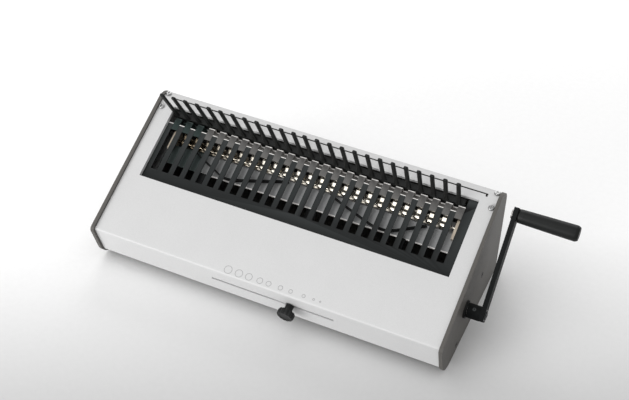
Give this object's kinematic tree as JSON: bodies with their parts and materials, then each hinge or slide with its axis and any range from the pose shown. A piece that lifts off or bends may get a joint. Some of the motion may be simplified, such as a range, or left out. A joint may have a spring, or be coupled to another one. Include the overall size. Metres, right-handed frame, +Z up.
{
  "type": "comb binding machine",
  "caption": "Desk machine that opens a plastic binding comb with a hand crank: sloping slotted deck, row of hooks, rear comb of tines, size knob.",
  "frame": {"origin": "centre of the whole machine's box at the plane it stands on", "axes": "+X to the operator's right, towards the crank; +Y to the back; +Z up"},
  "size_m": [0.5006, 0.1954, 0.1587],
  "materials": {
    "cover_paint": "light grey fine-texture powder coat",
    "cheek_paint": "mid grey fine-texture powder coat",
    "frame_steel": "zinc-plated sheet steel",
    "deck_black": "satin black coat",
    "tab_steel": "dull grey plated steel",
    "comb_black": "moulded black plastic",
    "bright_nickel": "polished nickel plating",
    "carriage_steel": "rolled grey sheet steel",
    "spring_steel": "blued spring steel",
    "shoe_plastic": "beige acetal",
    "gear_steel": "machined steel",
    "bush_black": "black nylon",
    "arm_black": "gloss black coat",
    "grip_black": "black moulded grip",
    "knob_black": "black moulded knob",
    "screw_steel": "bright zinc",
    "dark_screw": "blackened screw",
    "foot_rubber": "black rubber"
  },
  "bodies": {
    "housing": {"top_cover": "cover_paint", "base_tray": "cheek_paint", "left_cheek": "cheek_paint", "right_cheek": "cheek_paint", "left_inner_frame": "frame_steel", "right_inner_frame": "frame_steel", "left_guide": "frame_steel", "right_guide": "frame_steel", "cover_screws": "screw_steel", "cheek_screws": "dark_screw", "cheek_spacers": "frame_steel", "foot_screws": "screw_steel", "front_left_foot": "foot_rubber", "front_right_foot": "foot_rubber", "rear_left_foot": "foot_rubber", "rear_right_foot": "foot_rubber", "slot_plate": "deck_black", "plate_screws": "screw_steel", "finger_strip": "tab_steel", "rear_comb_rail": "frame_steel", "rail_screws": "screw_steel", "rear_comb_left": "comb_black", "rear_comb_right": "comb_black", "comb_screws": "screw_steel", "guide_rivets": "screw_steel", "left_bush": "bush_black", "right_bush": "bush_black", "bush_ring": "bush_black"},
    "crank": {"crank_shaft": "gear_steel", "left_pinion": "gear_steel", "right_pinion": "gear_steel", "set_screws": "dark_screw", "shaft_circlips": "spring_steel", "arm_hub": "arm_black", "crank_arm": "arm_black", "crank_end_screw": "dark_screw", "grip_axle": "gear_steel", "grip_nut": "screw_steel"},
    "grip": {"grip": "grip_black", "grip_cap": "grip_black"},
    "carriage": {"carriage_plate": "carriage_steel", "hook_strip": "bright_nickel", "hook_rivets": "screw_steel", "hook_rod": "bright_nickel", "left_slide_shoe": "shoe_plastic", "right_slide_shoe": "shoe_plastic", "left_vee_spring": "spring_steel", "right_vee_spring": "spring_steel", "left_rack": "spring_steel", "right_rack": "spring_steel", "stop_finger": "spring_steel"},
    "slider": {"size_slider": "frame_steel", "knob_stud": "gear_steel", "knob_washer": "screw_steel"},
    "knob": {"size_knob": "knob_black"}
  },
  "joints": [
    {"name": "crank_turn", "type": "hinge", "parent": "housing", "child": "crank", "pos_m": [0.16275, -0.017, 0.048], "axis": [1, 0, 0], "range_deg": [0, 90]},
    {"name": "grip_spin", "type": "hinge", "parent": "crank", "child": "grip", "pos_m": [0.18675, 0.06268, 0.12282], "axis": [1, 0, 0], "continuous": true},
    {"name": "carriage_slide", "type": "slide", "parent": "housing", "child": "carriage", "axis": [0, -0.9191, -0.3939], "range_m": [0, 0.0236]},
    {"name": "size_slide", "type": "slide", "parent": "housing", "child": "slider", "axis": [1, 0, 0], "range_m": [-0.0915, 0.048]},
    {"name": "knob_turn", "type": "hinge", "parent": "slider", "child": "knob", "pos_m": [-0.00945, -0.08063, 0.03584], "axis": [0, -0.9629, -0.2698], "range_deg": [0, 360]}
  ],
  "couplings": [
    {"joint": "carriage_slide", "follows": "crank_turn", "m_per_rad": 0.015}
  ]
}
